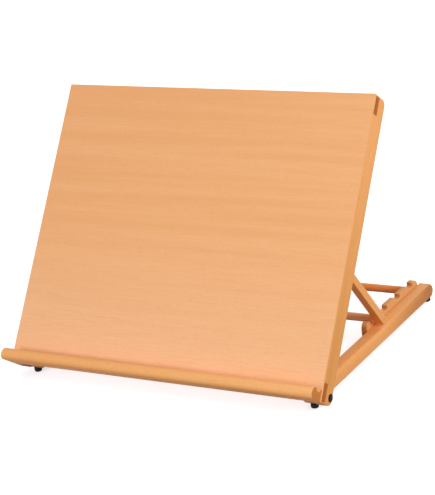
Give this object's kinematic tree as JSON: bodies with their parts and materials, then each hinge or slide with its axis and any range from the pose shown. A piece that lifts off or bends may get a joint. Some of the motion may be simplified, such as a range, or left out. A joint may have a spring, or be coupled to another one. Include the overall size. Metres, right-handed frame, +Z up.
{
  "type": "tabletop drawing board",
  "caption": "Tabletop wooden drawing board with a pencil ledge, hinged on a low base and propped by a swinging strut whose bar drops into saw-tooth racks.",
  "frame": {"origin": "on the table, under the middle of the whole object", "axes": "+X to the right across the board as its user sees it, +Y away from the user, +Z up from the table"},
  "size_m": [0.4536, 0.3971, 0.3339],
  "materials": {
    "beech": "clear satin lacquer",
    "veneer": "clear satin lacquer",
    "dark_beech": "clear satin lacquer",
    "steel": "zinc plated",
    "black_steel": "black lacquer",
    "rubber": "matt"
  },
  "bodies": {
    "base": {"left_base_rail": "beech", "right_base_rail": "beech", "front_crossbar": "dark_beech", "rear_crossbar": "dark_beech", "left_rack": "beech", "right_rack": "beech", "rack_screws": "steel", "left_pivot_bolt": "black_steel", "right_pivot_bolt": "black_steel", "pivot_washers": "steel", "pivot_nuts": "steel", "front_left_foot": "rubber", "front_right_foot": "rubber", "rear_left_foot": "rubber", "rear_right_foot": "rubber", "foot_pins": "steel"},
    "board": {"drawing_panel": "veneer", "left_stile": "beech", "right_stile": "beech", "top_rail": "dark_beech", "bottom_rail": "dark_beech", "ledge": "beech", "ledge_screws": "steel", "left_strut_screw": "steel", "right_strut_screw": "steel", "strut_washers": "steel"},
    "strut": {"left_strut_arm": "beech", "right_strut_arm": "beech", "strut_bar": "dark_beech"}
  },
  "joints": [
    {"name": "board_tilt", "type": "hinge", "parent": "base", "child": "board", "pos_m": [0, -0.15368, 0.015], "axis": [1, 0, 0], "range_deg": [0, 35]},
    {"name": "strut_swing", "type": "hinge", "parent": "board", "child": "strut", "pos_m": [0, -0.06916, 0.16284], "axis": [1, 0, 0], "range_deg": [0, 103]}
  ]
}
